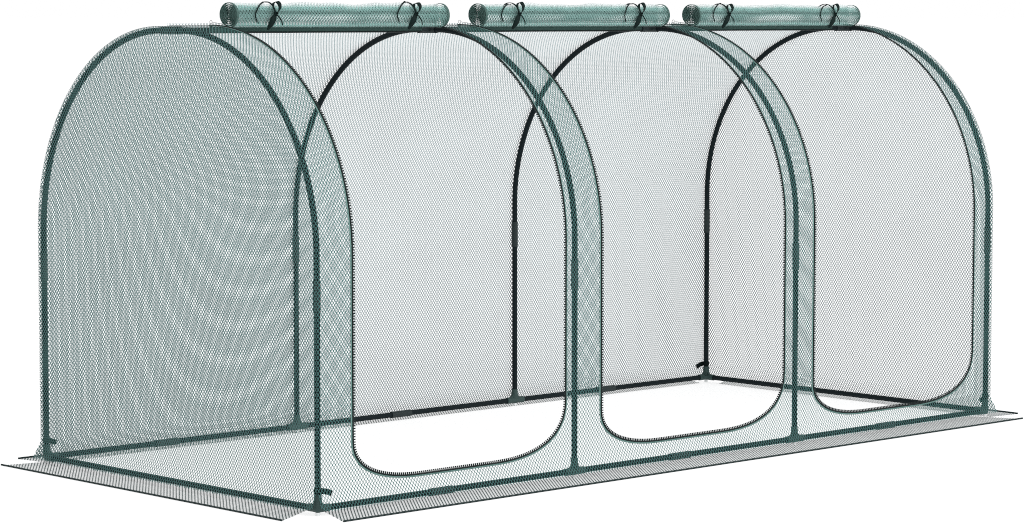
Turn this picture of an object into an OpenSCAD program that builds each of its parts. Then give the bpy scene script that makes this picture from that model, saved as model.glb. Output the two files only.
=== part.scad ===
// Crop cage: a netted tunnel on four tube hoops, with three zipped doors rolled up under the ridge.
// Origin: centre of the ground plan, on the ground. +X runs along the ridge, the doors face -Y.

/* [Frame] */
// Hoop width, between the axes of the front and back legs
cage_w = 1200; // [1000:10:1400]
// Hoop spacing along the ridge
bay = 905; // [860:5:1100]
// Ridge axis above the axis of the ground rails
ridge_h = 1200; // [1050:10:1500]
// Straight end of each bent tube at the ridge, from the ridge axis to the bend
crown_flat = 36; // [36:1:80]
// Start of the bend down to the middle of the leg coupler
coupler_drop = 98; // [60:2:200]
// Place of the rail coupler along a bay, as a share of the hoop spacing
coupler_share = 0.46; // [0.3:0.01:0.7]

/* [Tubes and fittings] */
// Tube outer diameter
tube_d = 16; // [12:0.5:20]
// Tube wall
tube_wall = 0.8; // [0.6:0.1:1.5]
// Wall of the moulded sockets and couplers
fitting_wall = 1.7; // [1.2:0.1:3]
// Running clearance between a tube and its socket, and between the net and what it lies on
fit_gap = 0.3; // [0.2:0.05:0.5]
// Reach of a socket from the crossing point of the tube axes
socket_len = 36; // [30:1:36]
// Distance from the crossing point to the stop that a tube end meets
socket_stop = 12; // [11:0.5:14]
// Radius of the pegs under the fittings that stand on the ground
foot_r = 6; // [4:0.5:8]
// Axis of the ground rails above the ground
rail_z = 18; // [14:0.5:30]
// Length of a straight coupler
coupler_len = 80; // [50:2:100]
// Stop between the two tube ends inside a coupler
coupler_stop = 3; // [2:0.5:5]
// Radius of the web that braces two sockets
web_r = 12; // [6:1:14]
// Thickness of that web
web_t = 9; // [5:0.5:14]

/* [Net cover] */
// Thickness of the net
net_t = 1.5; // [1:0.1:3]
// Height above the ground where the net starts to spread outwards
flare_top = 64; // [40:1:64]
// How far the net spreads outwards down to the ground
flare_out = 22; // [0:1:40]
// Seam allowance that stands up along the ridge and round the end hoops
seam_h = 8; // [4:0.5:14]
// Outer edge of the ground skirt, from the leg axes
skirt_reach = 118; // [90:1:180]
// How far the hem of a skirt runs past the leg axes, on average
skirt_run = 20; // [10:1:30]
// How far each hem is shifted, towards the front right or the back left corner
skirt_shift = 18; // [0:1:20]
// Openings across the back net, in the coarse grid that stands for its fine mesh
back_columns = 12; // [6:1:12]
// Openings across an end net
end_columns = 8; // [4:2:10]
// Share of a grid's pitch that its bars take
bar_share = 0.2; // [0.15:0.01:0.4]

/* [Doors] */
// Width of a doorway
door_w = 752; // [600:2:800]
// Lowest edge of a doorway above the axis of the ground rails
door_sill = 55; // [54:1:120]
// Top edge of a doorway, from the ridge plane
door_top = 30; // [20:1:36]
// Half width of the rounding at the left bottom corner of a doorway
corner_left_w = 245; // [100:5:280]
// Height of that rounding
corner_left_h = 112; // [60:2:200]
// Half width of the rounding at the right bottom corner of a doorway
corner_right_w = 280; // [100:5:300]
// Height of that rounding
corner_right_h = 156; // [60:2:240]
// Fullness of both roundings, 2 for an ellipse
corner_power = 2.5; // [2:0.1:4]
// Width of the zip tape outside the doorway
zip_w = 7; // [4:0.5:9]
// Thickness of the zip tape
zip_t = 1.6; // [1:0.1:3]
// Radius of a rolled-up door
roll_r = 34; // [28:1:40]
// Number of turns in a roll
roll_turns = 5; // [3:1:6]
// Thickness of the rolled net
roll_cloth = 3; // [2:0.1:3.4]
// Distance of the roll's axis in front of the ridge plane
roll_y = 108; // [90:1:140]
// Place of the two ties, from the ends of the roll
tie_inset = 128; // [60:1:200]
// Width of a tie ribbon
tie_w = 9; // [5:0.5:15]
// Thickness of a tie ribbon
tie_t = 1; // [0.6:0.1:2]

/* [Corner straps] */
// Middle of a strap above the axis of the ground rails
strap_h = 46; // [45:1:90]
// Width of a strap
strap_w = 15; // [8:1:17]
// Thickness of a strap
strap_t = 1.5; // [1:0.1:3]
// Free end of a strap, from the leg axis
strap_len = 43; // [25:1:60]

/* [Hidden] */
$fn = 48;
bend_fn = 240;                       // facets of a full circle on the long bends

tube_color = [0.16, 0.21, 0.20];
fitting_color = [0.33, 0.44, 0.40];
net_color = [0.55, 0.72, 0.67];
zip_color = [0.20, 0.27, 0.25];
strap_color = [0.06, 0.06, 0.06];

bays = 3;
tube_r = tube_d / 2;
bore_r = tube_r + fit_gap;
fitting_r = bore_r + fitting_wall;
half_w = cage_w / 2;
half_l = bays * bay / 2;
ridge_z = rail_z + ridge_h;
bend_r = half_w - crown_flat;
bend_z = ridge_z - bend_r;
coupler_z = bend_z - coupler_drop;
net_in = fitting_r + fit_gap;        // inner face of the net, from the tube axes
net_out = net_in + net_t;            // outer face of the net, from the tube axes
// Doors stand a little right of the middle of the first two bays, and left of it in the last
door_shift = [30, 14, -9];
sill_z = rail_z + door_sill;
roll_z = bend_z + sqrt(pow(bend_r + net_out, 2) - pow(roll_y - crown_flat, 2)) + roll_r;
roll_core = 5;                       // radius of the hollow down the middle of a roll
overlap = 1;                         // what cutters reach past the face that they cut
far = 5000;                          // longer than any size of the cage

// Hoops are numbered 1 to 4 and bays 1 to 3 from the left, where X is lowest
function hoop_x(i) = -half_l + (i - 1) * bay;
function door_x(i) = -half_l + (i - 0.5) * bay + door_shift[i - 1];
function coupler_x(i) = hoop_x(i) + coupler_share * bay;

// Half of a doorway's outline below its straight sides, as a rounded corner of sizes w and h
function corner(w, h, steps) = [
    for (k = [0 : steps])
        let (a = 90 * k / steps)
        [w * (1 - pow(cos(a), 2 / corner_power)), h * (1 - pow(sin(a), 2 / corner_power))]
];
// Outline of a doorway in X and Z, grown outwards by g, from the left side down and round
function doorway(g, top) =
    let (left = corner(corner_left_w + g, corner_left_h + g, 10),
         right = corner(corner_right_w + g, corner_right_h + g, 10))
    concat(
        [[-door_w / 2 - g, top]],
        [for (p = left) [-door_w / 2 - g + p[0], sill_z - g + p[1]]],
        [for (k = [len(right) - 1 : -1 : 0]) [door_w / 2 + g - right[k][0], sill_z - g + right[k][1]]],
        [[door_w / 2 + g, top]]
    );

// Turns a shape drawn in X and Y so that it stands in Y and Z and is extruded along X
module upright_along_x(x_from, x_to) {
    translate([x_from, 0, 0])
        rotate([90, 0, 90])
            linear_extrude(x_to - x_from) children();
}

// Turns a shape drawn in X and Y so that it stands in X and Z and is extruded along -Y
module upright_along_y(y_from, y_to) {
    translate([0, y_to, 0])
        rotate([90, 0, 0])
            linear_extrude(y_to - y_from) children();
}

module front_or_back(side) {
    if (side < 0) mirror([0, 1, 0]) children();
    else children();
}

module left_or_right(side) {
    if (side < 0) mirror([1, 0, 0]) children();
    else children();
}

// ---------- tubes ----------

module tube(length) {
    difference() {
        cylinder(h = length, r = tube_r);
        translate([0, 0, -overlap]) cylinder(h = length + 2 * overlap, r = tube_r - tube_wall);
    }
}

// The path of one bent tube at the back, from its coupler up and over to the ridge fitting
module arch_path(r, ends) {
    translate([0, half_w, coupler_z + coupler_stop / 2 - ends])
        cylinder(h = coupler_drop - coupler_stop / 2 + ends, r = r);
    translate([0, crown_flat, bend_z])
        rotate([90, 0, 90])
            rotate_extrude(angle = 90, $fn = bend_fn)
                translate([bend_r, 0]) circle(r = r, $fn = 48);
    translate([0, crown_flat, ridge_z])
        rotate([90, 0, 0])
            cylinder(h = crown_flat - socket_stop + ends, r = r);
}

module arch(i, side) {
    color(tube_color)
        translate([hoop_x(i), 0, 0])
            front_or_back(side)
                difference() {
                    arch_path(tube_r, 0);
                    arch_path(tube_r - tube_wall, overlap);
                }
}

module legs(i) {
    foot_z = rail_z + socket_stop;
    color(tube_color)
        for (side = [-1, 1])
            translate([hoop_x(i), side * half_w, foot_z])
                tube(coupler_z - coupler_stop / 2 - foot_z);
}

module tube_along_x(x_from, x_to, y, z) {
    translate([x_from, y, z]) rotate([0, 90, 0]) tube(x_to - x_from);
}

module ridge_tubes() {
    color(tube_color)
        for (i = [1 : bays])
            tube_along_x(hoop_x(i) + socket_stop, hoop_x(i + 1) - socket_stop, 0, ridge_z);
}

// A rail of one bay is two tubes that meet in its coupler
module rail(i, side) {
    color(tube_color) {
        tube_along_x(hoop_x(i) + socket_stop, coupler_x(i) - coupler_stop / 2, side * half_w, rail_z);
        tube_along_x(coupler_x(i) + coupler_stop / 2, hoop_x(i + 1) - socket_stop, side * half_w, rail_z);
    }
}

module end_rail(side) {
    color(tube_color)
        translate([side * half_l, half_w - socket_stop, rail_z])
            rotate([90, 0, 0]) tube(cage_w - 2 * socket_stop);
}

// ---------- fittings ----------

module coupler() {
    difference() {
        cylinder(h = coupler_len, r = fitting_r, center = true);
        for (end = [-1, 1])
            translate([0, 0, end * (coupler_len + coupler_stop) / 4 + end * overlap / 2])
                cylinder(h = (coupler_len - coupler_stop) / 2 + overlap, r = bore_r, center = true);
    }
}

module leg_couplers() {
    color(fitting_color)
        for (i = [1 : bays + 1], side = [-1, 1])
            translate([hoop_x(i), side * half_w, coupler_z]) coupler();
}

module rail_couplers() {
    color(fitting_color)
        for (i = [1 : bays], side = [-1, 1])
            translate([coupler_x(i), side * half_w, rail_z]) rotate([0, 90, 0]) coupler();
}

// One arm of a fitting, along +Z before it is turned
module socket() {
    cylinder(h = socket_len, r = fitting_r);
}

module socket_bore() {
    translate([0, 0, socket_stop]) cylinder(h = socket_len, r = bore_r);
}

// Web between an arm along +X and one along +Y
module web() {
    corner_at = fitting_r + web_r;
    translate([0, 0, -web_t / 2])
        linear_extrude(web_t)
            difference() {
                square(corner_at);
                translate([corner_at, corner_at]) circle(r = web_r);
            }
}

// A fitting with arms turned by each entry of arms, and webs turned by each entry of webs
module fitting(arms, webs, foot) {
    difference() {
        union() {
            sphere(r = fitting_r);
            for (a = arms) rotate(a) socket();
            for (w = webs) rotate(w) web();
            if (foot > 0) translate([0, 0, -foot]) cylinder(h = foot, r = foot_r);
        }
        for (a = arms) rotate(a) socket_bore();
    }
}

to_up = [0, 0, 0];
to_right = [0, 90, 0];
to_left = [0, -90, 0];
to_back = [-90, 0, 0];
to_front = [90, 0, 0];
web_right_up = [90, 0, 0];
web_left_up = [90, 0, 180];
web_back_up = [90, 0, 90];
web_right_back = [0, 0, 0];
web_right_front = [0, 0, -90];
web_left_back = [0, 0, 90];
web_left_front = [0, 0, 180];

module ridge_fittings() {
    color(fitting_color) {
        for (end = [-1, 1])
            translate([end * half_l, 0, ridge_z])
                left_or_right(-end)
                    fitting([to_front, to_back, to_right], [web_right_back, web_right_front], 0);
        for (i = [2 : bays])
            translate([hoop_x(i), 0, ridge_z])
                fitting([to_front, to_back, to_right, to_left],
                    [web_right_back, web_right_front, web_left_back, web_left_front], 0);
    }
}

module corner_fittings() {
    color(fitting_color)
        for (end = [-1, 1], side = [-1, 1])
            translate([end * half_l, side * half_w, rail_z])
                left_or_right(-end)
                    front_or_back(-side)
                        fitting([to_up, to_right, to_back], [web_right_up, web_back_up, web_right_back],
                            rail_z);
}

module tee_fittings() {
    color(fitting_color)
        for (i = [2 : bays], side = [-1, 1])
            translate([hoop_x(i), side * half_w, rail_z])
                fitting([to_up, to_right, to_left], [web_right_up, web_left_up], rail_z);
}

// ---------- net cover ----------

// Half of the space under the cover in Y and Z, with its edge at offset o from the tube axes
module half_profile(o) {
    top_z = ridge_z + o;
    wall_y = half_w + o;
    intersection() {
        translate([crown_flat, bend_z]) circle(r = bend_r + o, $fn = bend_fn);
        translate([crown_flat, bend_z]) square(bend_r + o + overlap);
    }
    translate([0, bend_z]) square([crown_flat, top_z - bend_z]);
    polygon([[0, bend_z], [0, net_t], [wall_y + flare_out, net_t], [wall_y, flare_top], [wall_y, bend_z]]);
}

// The cut sheet of the half cover, seen from its end
module half_sheet() {
    difference() {
        half_profile(net_out);
        half_profile_cutter();
    }
}

// The space inside the half cover, taken a little past the ridge plane and the ground
module half_profile_cutter() {
    wall_y = half_w + net_in;
    slope = flare_out / (flare_top - net_t);
    intersection() {
        translate([crown_flat, bend_z]) circle(r = bend_r + net_in, $fn = bend_fn);
        translate([crown_flat, bend_z]) square(bend_r + 2 * net_in);
    }
    translate([-overlap, bend_z]) square([crown_flat + overlap, ridge_z + net_in - bend_z]);
    polygon([[-overlap, bend_z], [-overlap, net_t - overlap],
        [wall_y + flare_out + overlap * slope, net_t - overlap], [wall_y, flare_top], [wall_y, bend_z]]);
}

// Region in X and Z between the two end nets, with its edge at offset o from the end hoops
module between_ends(o) {
    end_x = half_l + o;
    polygon([[-end_x - flare_out, net_t], [-end_x, flare_top], [-end_x, far],
        [end_x, far], [end_x, flare_top], [end_x + flare_out, net_t]]);
}

// The front or back sheet from x_from to x_to, mitred to the end nets
module cover_sheet(x_from, x_to, side) {
    front_or_back(side)
        intersection() {
            upright_along_x(x_from, x_to) half_sheet();
            upright_along_y(-far, far) between_ends(net_in);
        }
}

// Cuts one opening of a grid whose pitches are w along the row and h across it
module grid_opening(w, h) {
    cube([w * (1 - bar_share), 2 * net_out, h * (1 - bar_share)], center = true);
}

// Openings of the back net: rows up the wall, then rows that turn round the bend
module back_grid() {
    pitch = 2 * half_l / back_columns;
    wall_rows = round((bend_z - flare_top) / pitch);
    wall_pitch = (bend_z - flare_top) / wall_rows;
    bend_len = PI / 2 * bend_r;
    bend_rows = round(bend_len / pitch);
    for (k = [1 : back_columns])
        translate([-half_l + (k - 0.5) * pitch, 0, 0]) {
            for (row = [1 : wall_rows])
                translate([0, half_w + net_in, flare_top + (row - 0.5) * wall_pitch])
                    grid_opening(pitch, wall_pitch);
            for (row = [1 : bend_rows])
                translate([0, crown_flat, bend_z])
                    rotate([90 * (row - 0.5) / bend_rows, 0, 0])
                        translate([0, bend_r + net_in, 0])
                            grid_opening(pitch, bend_len / bend_rows);
        }
}

module back_net() {
    color(net_color) {
        difference() {
            cover_sheet(-far, far, 1);
            back_grid();
        }
        translate([-half_l - net_in, 0, ridge_z + net_out])
            cube([2 * (half_l + net_in), net_t, seam_h]);
    }
}

module door_cut(i) {
    translate([door_x(i), 0, 0])
        upright_along_y(-far, -door_top) polygon(doorway(0, far / 2));
}

module front_net(i) {
    x_from = i == 1 ? -far : hoop_x(i);
    x_to = i == bays ? far : hoop_x(i + 1);
    color(net_color)
        difference() {
            cover_sheet(x_from, x_to, -1);
            door_cut(i);
        }
}

// The whole arched outline of an end, with its edge at offset o from the tube axes
module end_outline(o) {
    for (side = [0, 1])
        mirror([side, 0])
            half_profile(o);
}

// Distance of a point from where the bends start, with both halves of the arch taken as one
function from_bend(y, z) = norm([max(0, abs(y) - crown_flat), max(0, z - bend_z)]);

// Openings of an end net, seen from its end: a grid that the arch cuts off
module end_grid() {
    pitch = 2 * half_w / end_columns;
    rows = round((ridge_z - flare_top) / pitch);
    row_pitch = (ridge_z - flare_top) / rows;
    bar = pitch * bar_share;
    intersection() {
        end_outline(-bar);
        union()
            for (k = [1 : end_columns], row = [1 : rows]) {
                y = -half_w + (k - 0.5) * pitch;
                z = flare_top + (row - 0.5) * row_pitch;
                if (from_bend(y, z) < bend_r - bar)
                    translate([y, z]) square([pitch - bar, row_pitch - bar], center = true);
            }
    }
}

module end_net(side) {
    inner_x = half_l + net_in;
    color(net_color)
        left_or_right(side)
            intersection() {
                upright_along_x(half_l, half_l + flare_out + 2 * net_out)
                    difference() {
                        end_outline(net_out + seam_h);
                        end_grid();
                    }
                upright_along_y(-far, far)
                    polygon([[inner_x + flare_out, net_t], [inner_x, flare_top], [inner_x, far],
                        [inner_x + net_t, far], [inner_x + net_t, flare_top],
                        [inner_x + net_t + flare_out, net_t]]);
            }
}

// A skirt outside the wall whose leg axes stand at x = half and reach along Y by run each way
module skirt(half, run) {
    inner = net_in + flare_out;
    hem_x = half + skirt_reach;
    color(net_color)
        linear_extrude(net_t)
            polygon([[half + inner, -run - inner], [hem_x, -run - skirt_run - skirt_shift],
                [hem_x, run + skirt_run - skirt_shift], [half + inner, run + inner]]);
}

module long_skirt(side) {
    rotate(side * 90) mirror([0, 1, 0]) skirt(half_w, half_l);
}

module end_skirt(side) {
    rotate(side < 0 ? 180 : 0) skirt(half_l, half_w);
}

// ---------- doors ----------

// Cross-section of a roll: a spiral strip from the hollow core out to the roll's radius
module scroll() {
    steps = roll_turns * 20;
    pitch = (roll_r - roll_core - roll_cloth) / roll_turns;
    outer = [for (k = [0 : steps]) let (a = 18 * k - 90) (roll_core + roll_cloth + pitch * k / 20) * [cos(a), sin(a)]];
    inner = [for (k = [steps : -1 : 0]) let (a = 18 * k - 90) (roll_core + pitch * k / 20) * [cos(a), sin(a)]];
    polygon(concat(outer, inner));
}

// A door is rolled up outwards: its roll lies on the flap of it that still runs to the ridge seam
module door_roll(i) {
    half = door_w / 2 - fit_gap;
    x_from = door_x(i) - half;
    x_to = door_x(i) + half;
    color(net_color) {
        mirror([0, 1, 0])
            upright_along_x(x_from, x_to)
                translate([roll_y, roll_z - overlap / 4]) scroll();
        mirror([0, 1, 0])
            upright_along_x(x_from, x_to)
                intersection() {
                    half_sheet();
                    translate([door_top, bend_z])
                        square([roll_y + roll_cloth - door_top, bend_r + 2 * net_out]);
                }
    }
}

// Tape of one zip: it lies on the net round the doorway's edge, down both sides and across the sill
module door_zip(i) {
    face = net_out + fit_gap;
    color(zip_color)
        translate([door_x(i), 0, 0]) {
            upright_along_y(-half_w - face - zip_t, -half_w - face)
                difference() {
                    polygon(doorway(zip_w, bend_z));
                    polygon(doorway(0, bend_z + overlap));
                }
            for (side = [-1, 1])
                translate([side * (door_w + zip_w) / 2 - zip_w / 2, 0, 0]) {
                    translate([0, -crown_flat, bend_z])
                        mirror([0, 1, 0])
                            rotate([90, 0, 90])
                                rotate_extrude(angle = 90, $fn = bend_fn)
                                    translate([bend_r + face, 0]) square([zip_t, zip_w]);
                    translate([0, -crown_flat, ridge_z + face])
                        cube([zip_w, crown_flat - door_top, zip_t]);
                }
        }
}

// Ribbons tied round the rolls, two to a door: each runs from the cover over the roll and back to it
module roll_ties() {
    color(strap_color)
        for (i = [1 : bays], end = [-1, 1])
            translate([door_x(i) + end * (door_w / 2 - tie_inset), 0, 0])
                mirror([0, 1, 0])
                    upright_along_x(-tie_w / 2, tie_w / 2)
                        difference() {
                            translate([roll_y, roll_z]) circle(r = roll_r + fit_gap + tie_t);
                            translate([roll_y, roll_z]) circle(r = roll_r + fit_gap);
                            half_profile(net_out + fit_gap);
                        }
}

// ---------- straps ----------

// A strap goes round each corner leg, and its free end points along the ridge direction
module corner_straps() {
    loop_r = bore_r + strap_t;
    color(strap_color)
        for (end = [-1, 1], side = [-1, 1])
            translate([end * half_l, side * half_w, rail_z + strap_h])
                left_or_right(-end)
                    difference() {
                        union() {
                            cylinder(h = strap_w, r = loop_r, center = true);
                            translate([0, -loop_r, -strap_w / 2]) cube([strap_len, strap_t, strap_w]);
                        }
                        cylinder(h = strap_w + overlap, r = bore_r, center = true);
                    }
}

arch(1, -1);  // hoop_1_front_arch
arch(1, 1);  // hoop_1_back_arch
arch(2, -1);  // hoop_2_front_arch
arch(2, 1);  // hoop_2_back_arch
arch(3, -1);  // hoop_3_front_arch
arch(3, 1);  // hoop_3_back_arch
arch(4, -1);  // hoop_4_front_arch
arch(4, 1);  // hoop_4_back_arch
legs(1);  // hoop_1_legs
legs(2);  // hoop_2_legs
legs(3);  // hoop_3_legs
legs(4);  // hoop_4_legs
leg_couplers();
rail_couplers();
ridge_fittings();
corner_fittings();
tee_fittings();
ridge_tubes();
rail(1, -1);  // front_rail_1
rail(2, -1);  // front_rail_2
rail(3, -1);  // front_rail_3
rail(1, 1);  // back_rail_1
rail(2, 1);  // back_rail_2
rail(3, 1);  // back_rail_3
end_rail(-1);  // left_end_rail
end_rail(1);  // right_end_rail
end_net(-1);  // left_end_net
end_net(1);  // right_end_net
back_net();
front_net(1);  // front_net_1
front_net(2);  // front_net_2
front_net(3);  // front_net_3
long_skirt(-1);  // front_skirt
long_skirt(1);  // back_skirt
end_skirt(-1);  // left_skirt
end_skirt(1);  // right_skirt
door_roll(1);  // door_roll_1
door_roll(2);  // door_roll_2
door_roll(3);  // door_roll_3
door_zip(1);  // door_zip_1
door_zip(2);  // door_zip_2
door_zip(3);  // door_zip_3
roll_ties();
corner_straps();
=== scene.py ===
"""Dresses the crop cage: knotted nets, skirts, zips, rolled-up doors, ribbons, straps and paint."""

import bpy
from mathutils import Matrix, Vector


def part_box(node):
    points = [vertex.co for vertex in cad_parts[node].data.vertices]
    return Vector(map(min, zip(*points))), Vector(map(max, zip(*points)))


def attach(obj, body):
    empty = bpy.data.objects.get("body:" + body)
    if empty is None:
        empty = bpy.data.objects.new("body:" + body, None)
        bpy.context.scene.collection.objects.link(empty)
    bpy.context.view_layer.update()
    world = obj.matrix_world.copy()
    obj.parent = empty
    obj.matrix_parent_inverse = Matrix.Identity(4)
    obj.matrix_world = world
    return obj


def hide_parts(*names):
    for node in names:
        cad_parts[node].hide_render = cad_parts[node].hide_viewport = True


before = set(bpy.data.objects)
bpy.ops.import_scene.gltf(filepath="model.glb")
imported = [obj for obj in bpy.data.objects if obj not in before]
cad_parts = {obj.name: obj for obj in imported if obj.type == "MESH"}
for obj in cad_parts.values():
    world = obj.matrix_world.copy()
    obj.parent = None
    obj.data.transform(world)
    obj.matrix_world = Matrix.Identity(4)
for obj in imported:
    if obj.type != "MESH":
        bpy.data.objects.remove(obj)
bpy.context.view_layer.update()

import copy
import math

import bpy
import numpy as np
from bpy.props import FloatProperty, FloatVectorProperty, PointerProperty

bl_info = {
    "name": "Crop Cage Dressing",
    "version": (1, 0, 0),
    "blender": (4, 5, 0),
    "location": "3D View > Sidebar > Crop Cage",
    "description": "Nets, zips, rolled doors, ties and finishes for a tunnel-shaped crop cage",
    "category": "Object",
}

MM = 0.001
BODY = "root"


# ---------- measures, read from the frame where it has them ----------

def middle(node):
    low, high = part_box(node)
    return (low + high) / 2


HOOPS = (1, 2, 3, 4)
DOORS = (1, 2, 3)
LEGS_LOW, LEGS_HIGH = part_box("hoop_1_legs")
TUBE_R = (LEGS_HIGH.x - LEGS_LOW.x) / 2
HALF_W = LEGS_HIGH.y - TUBE_R
HALF_L = middle("hoop_4_legs").x
RAIL_Z = middle("left_end_rail").z
RIDGE_Z = middle("ridge_tubes").z
CROWN_FLAT = 36 * MM          # straight end of a bent tube at the ridge
BEND_R = HALF_W - CROWN_FLAT
BEND_Z = RIDGE_Z - BEND_R
BEND_STEPS = 49               # points in the cover's bend
FIT_GAP = 0.3 * MM

# Cover
NET_IN = 10.3 * MM            # its inner and outer face, from the tube axes
NET_OUT = 11.8 * MM
SHEET = (NET_IN + NET_OUT) / 2
COVER_END = HALF_L + NET_IN
SEAM_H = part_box("back_net")[1].z - RIDGE_Z - NET_OUT
FOOT_Z = 1.5 * MM             # where the walls meet the ground skirts
FLARE_TOP = 64 * MM           # where the walls start to spread outwards
FLARE_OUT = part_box("right_skirt")[0].x - HALF_L - NET_IN
FOOT_SHARE = 0.2              # lower part of the spread foot, left open above the skirts
NOTCH = 20 * MM               # gap in the foot of the cover at the notched corners
NOTCH_RISE = 1.5              # how high the foot ends beside a notch, against its own edge
PLY_GAP = 0.4 * MM            # between the two families of threads
END_THREAD = 1.9 * MM         # threads of the left end
RIGHT_THREAD = 2.3 * MM       # threads of the right end
BACK_THREAD = 2.7 * MM       # threads of the back
# Painted light and shade on the back and the right end: how light their yarn is painted, by height as a share
# of the ridge's, darker low down and lighter towards the ridge
PAINTED_LIGHT_BY_HEIGHT = ((0.1, 0.74), (0.4, 0.88), (0.7, 1.12), (0.9, 1.25), (0.97, 1.5))

# Skirts
SKIRT_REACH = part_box("right_skirt")[1].x - HALF_L
# How far, in mm past the leg axes, a hem runs to its whole corner and to its notched one, and the inner
# edge to the notched one; the notched corners are the front left and the back right
SKIRT_ENDS = {
    "front": (38, 14, -50),
    "back": (16, 14, -39),
    "left": (50, 2, -83),
    "right": (38, 2, -68),
}
WIDE_TUCK = 35 * MM           # how far a skirt runs in past the rail axes
NARROW_TUCK = 8 * MM
SKIRT_TUCK = {"front": WIDE_TUCK, "back": NARROW_TUCK, "left": WIDE_TUCK, "right": NARROW_TUCK}
SKIRT_THREAD = 2.3 * MM
SKIRT_KNOT = 9.5 * MM         # length of a knot across a skirt
HEM_INSET = 0.4 * MM          # from a skirt's edge to the middle of its cord
HEM_STEPS = 60                # points along a hem's cord

# Doorways and zips
DOOR_X = {
    i: (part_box(f"door_roll_{i}")[0].x - FIT_GAP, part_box(f"door_roll_{i}")[1].x + FIT_GAP) for i in DOORS
}
ZIP_W = 7 * MM
ZIP_T = 0.8 * MM
SILL_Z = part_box("door_zip_1")[0].z + ZIP_W
DOOR_TOP = 30 * MM            # top edge of a doorway, from the ridge plane
CORNER_LEFT = (245 * MM, 112 * MM)
CORNER_RIGHT = (280 * MM, 156 * MM)
CORNER_POWER = 2.5            # of the superellipse that rounds a corner
NET_STEPS = 14                # points in a corner of a net's edge
ZIP_STEPS = 30                # points in a corner of a zip, and in its upright sides
SIDE_STEPS = 60

# Rolled doors, ribbons and straps
ROLL_R = 34 * MM
TIE_REACH = ROLL_R + 1.3 * MM
TIE_W = 9 * MM
ROLL_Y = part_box("roll_ties")[0].y + TIE_REACH
ROLL_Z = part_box("roll_ties")[1].z - TIE_REACH
TIE_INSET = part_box("roll_ties")[0].x + TIE_W / 2 - DOOR_X[1][0]
STRAP_Z = middle("corner_straps").z

TUBE_NODES = [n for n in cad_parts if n.startswith("hoop_") or "rail" in n and "coupler" not in n]
TUBE_NODES += ["ridge_tubes"]
FITTING_NODES = ["leg_couplers", "rail_couplers", "ridge_fittings"]
FOOT_NODES = ["corner_fittings", "tee_fittings"]
FRONT_NETS = [f"front_net_{i}" for i in DOORS]

WHITE = (1.0, 1.0, 1.0, 1.0)
BLACK = (0.0, 0.0, 0.0, 1.0)
PALE_PLASTIC = (0.72, 0.74, 0.74, 1.0)
# Painted light on the rolled doors: the lit top of a roll, and its glints
PAINTED_LIT_YARN = (0.86, 0.92, 0.92, 1.0)
YARN_GLINT = (0.9, 0.95, 0.95, 1.0)
WAVE_LINES = 6.28             # about how many ridges and grooves a wave texture of scale 1 has to the metre
WEAVE_TURN = (0.6, 0.5, 0.785)    # so that no face of a tape lies along the ribs


# ---------- nodes ----------

class Nodes:
    """Makes the nodes of one tree: each takes its type, its settings and its sockets' values or links."""

    def __init__(self, tree):
        self.tree = tree

    def add(self, kind, settings=None, values=None):
        node = self.tree.nodes.new(kind)
        for name, value in (settings or {}).items():
            if name == "stops":
                self.set_stops(node.color_ramp, value)
            else:
                setattr(node, name, value)
        for key, value in (values or {}).items():
            socket = self.socket(node.inputs, key)
            source = value.socket if isinstance(value, Value) else value
            if isinstance(source, bpy.types.NodeSocket):
                self.tree.links.new(source, socket)
            else:
                socket.default_value = source
        return node

    def value(self, kind, settings=None, values=None, out=0):
        return Value(self, self.socket(self.add(kind, settings, values).outputs, out))

    @staticmethod
    def socket(sockets, key):
        if isinstance(key, int):
            return sockets[key]
        return next((s for s in sockets if s.identifier == key), None) or sockets[key]

    @staticmethod
    def set_stops(ramp, stops):
        while len(ramp.elements) > len(stops):
            ramp.elements.remove(ramp.elements[-1])
        while len(ramp.elements) < len(stops):
            ramp.elements.new(1.0)
        for element, (at, colour) in zip(ramp.elements, stops):
            element.position = at
            element.color = colour

    def math(self, operation, first, second=0.0):
        return self.value("ShaderNodeMath", {"operation": operation}, {0: first, 1: second})

    def mix(self, factor, first, second):
        """A colour between two colours."""
        return self.value(
            "ShaderNodeMix", {"data_type": "RGBA"},
            {"Factor_Float": factor, "A_Color": first, "B_Color": second}, "Result_Color",
        )

    def ramp(self, factor, stops):
        """A colour from stops, each a place from 0 to 1 and its colour."""
        return self.value("ShaderNodeValToRGB", {"stops": stops}, {"Fac": factor}, "Color")

    def along(self, where, axis):
        return self.value("ShaderNodeSeparateXYZ", None, {"Vector": where}, axis)


class Value:
    """A node's output; an expression on numbers adds its Math nodes."""

    def __init__(self, nodes, socket):
        self.nodes = nodes
        self.socket = socket

    def __add__(self, other):
        return self.nodes.math("ADD", self, other)

    def __radd__(self, other):
        return self.nodes.math("ADD", other, self)

    def __sub__(self, other):
        return self.nodes.math("SUBTRACT", self, other)

    def __rsub__(self, other):
        return self.nodes.math("SUBTRACT", other, self)

    def __mul__(self, other):
        return self.nodes.math("MULTIPLY", self, other)

    def __rmul__(self, other):
        return self.nodes.math("MULTIPLY", other, self)


def shade(colour, factor):
    """A colour made lighter or darker by a factor."""
    return (*(min(1.0, c * factor) for c in colour[:3]), 1.0)


# ---------- materials ----------

def finish(name, recipe, **constants):
    """A Principled material; the recipe returns the outputs that vary over the surface, by input."""
    if name in bpy.data.materials:
        return bpy.data.materials[name]
    material = bpy.data.materials.new(name)
    material.use_nodes = True
    nodes = Nodes(material.node_tree)
    shader = material.node_tree.nodes["Principled BSDF"]
    for key, value in constants.items():
        shader.inputs[key.replace("_", " ").title().replace("Ior", "IOR")].default_value = value
    where = nodes.add("ShaderNodeTexCoord").outputs["Object"]
    for key, value in recipe(nodes, where).items():
        material.node_tree.links.new(value.socket, shader.inputs[key])
    return material


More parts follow.
